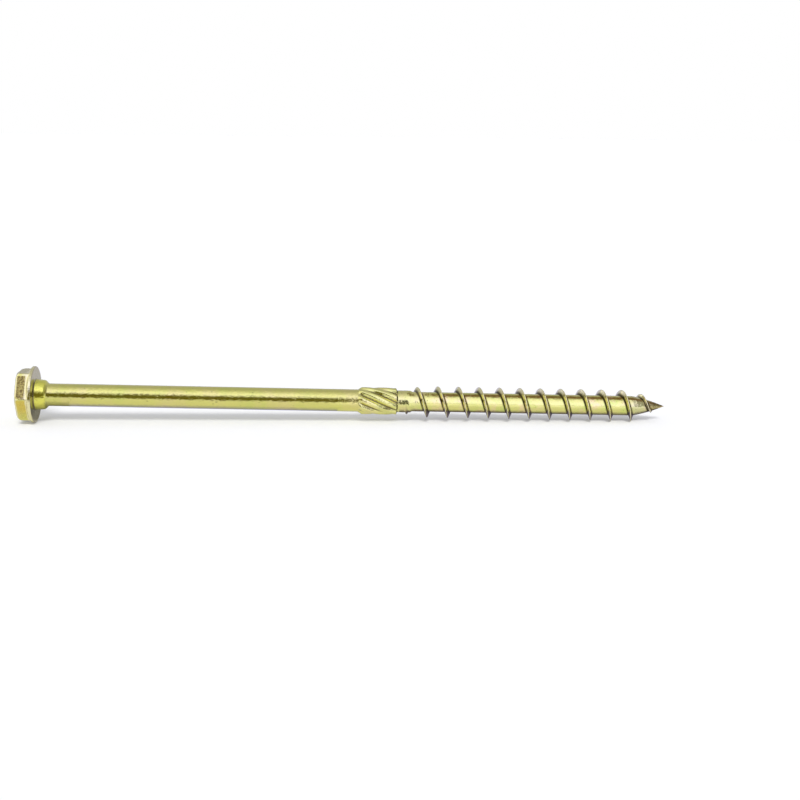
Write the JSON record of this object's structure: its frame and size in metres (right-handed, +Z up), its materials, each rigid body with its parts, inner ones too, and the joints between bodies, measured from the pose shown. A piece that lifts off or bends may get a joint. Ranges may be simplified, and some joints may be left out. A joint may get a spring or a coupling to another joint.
{
  "type": "lag screw",
  "caption": "Hex washer-head lag screw for timber: six-lobe drive, collar under the flange, plain shank, twisted milling ribs, coarse wood thread, tapered point.",
  "frame": {"origin": "bottom centre of the box around the screw as it lies on a table, resting on the rim of its flange and the crest of its thread", "axes": "+X runs from the head to the point, about 1.18 degrees above the line of the screw's own axis, which dips towards the point; +Z is up; one flat of the hex faces down"},
  "size_m": [0.2054, 0.0178, 0.0178],
  "materials": {
    "yellow_zinc_steel": "zinc plated steel with a glossy yellow chromate passivation, olive to gold with faint rainbow tints"
  },
  "bodies": {
    "root": {"lag_screw": "yellow_zinc_steel"}
  },
  "joints": []
}
